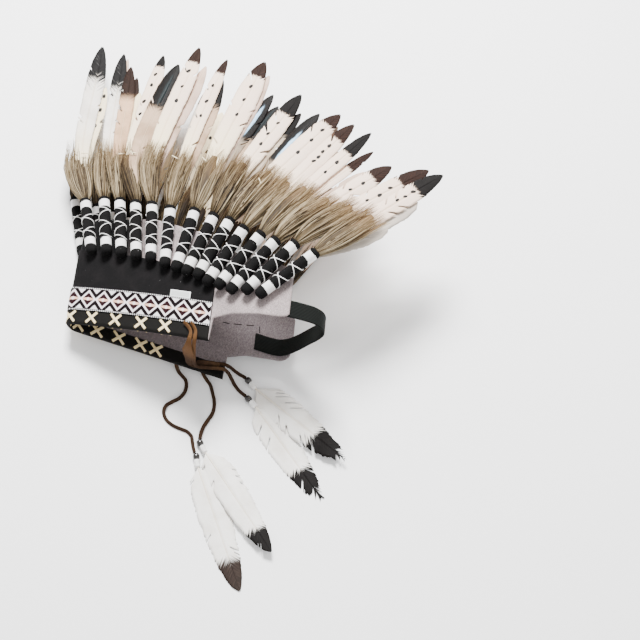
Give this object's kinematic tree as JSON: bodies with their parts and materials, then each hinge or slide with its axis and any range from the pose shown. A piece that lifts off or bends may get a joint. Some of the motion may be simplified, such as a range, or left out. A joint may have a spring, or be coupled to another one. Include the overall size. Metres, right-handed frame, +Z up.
{
  "type": "feathered headdress",
  "caption": "Feathered headdress lying on its side: felt head band with woven trim, wrapped sleeves, fur tufts, fanned feathers, elastic strap and laces with drop feathers.",
  "frame": {"origin": "middle of the base, on the surface that the headdress lies on, without its free laces", "axes": "+X along the head band from the forehead fold to the back, +Y from the rim up to the feather tips, +Z up, away from the surface"},
  "size_m": [0.4371, 0.548, 0.1278],
  "materials": {
    "grey_felt": "heather grey felt",
    "black_felt": "black felt",
    "woven_ribbon": "woven jacquard ribbon, black, white and pale pink",
    "black_ribbon": "black ribbon with cream cross stitches",
    "label_cloth": "blank satin label",
    "black_elastic": "ribbed flat elastic",
    "feather_and_fur": "wrapped felt sleeve, tan fur and painted white feathers with dark tips",
    "brown_suede": "flat suede lace",
    "dark_bead": "glossy dark bead",
    "white_feather": "white feather with dark tip and thread collar"
  },
  "bodies": {
    "root": {"felt_base": "grey_felt", "front_panel": "black_felt", "woven_trim": "woven_ribbon", "edge_binding": "black_ribbon", "blank_label": "label_cloth", "elastic_strap": "black_elastic", "near_quill_01": "feather_and_fur", "near_quill_02": "feather_and_fur", "near_quill_03": "feather_and_fur", "near_quill_04": "feather_and_fur", "near_quill_05": "feather_and_fur", "near_quill_06": "feather_and_fur", "near_quill_07": "feather_and_fur", "near_quill_08": "feather_and_fur", "near_quill_09": "feather_and_fur", "near_quill_10": "feather_and_fur", "near_quill_11": "feather_and_fur", "near_quill_12": "feather_and_fur", "near_quill_13": "feather_and_fur", "near_quill_14": "feather_and_fur", "far_quill_01": "feather_and_fur", "far_quill_02": "feather_and_fur", "far_quill_03": "feather_and_fur", "far_quill_04": "feather_and_fur", "far_quill_05": "feather_and_fur", "far_quill_06": "feather_and_fur", "far_quill_07": "feather_and_fur", "far_quill_08": "feather_and_fur", "far_quill_09": "feather_and_fur", "far_quill_10": "feather_and_fur", "far_quill_11": "feather_and_fur", "far_quill_12": "feather_and_fur", "far_quill_13": "feather_and_fur", "far_quill_14": "feather_and_fur", "lace_near_upper": "brown_suede", "bead_near_upper": "dark_bead", "drop_feather_near_upper": "white_feather", "lace_near_lower": "brown_suede", "bead_near_lower": "dark_bead", "drop_feather_near_lower": "white_feather", "lace_far_outer": "brown_suede", "bead_far_outer": "dark_bead", "drop_feather_far_outer": "white_feather", "lace_far_inner": "brown_suede", "bead_far_inner": "dark_bead", "drop_feather_far_inner": "white_feather"}
  },
  "joints": []
}
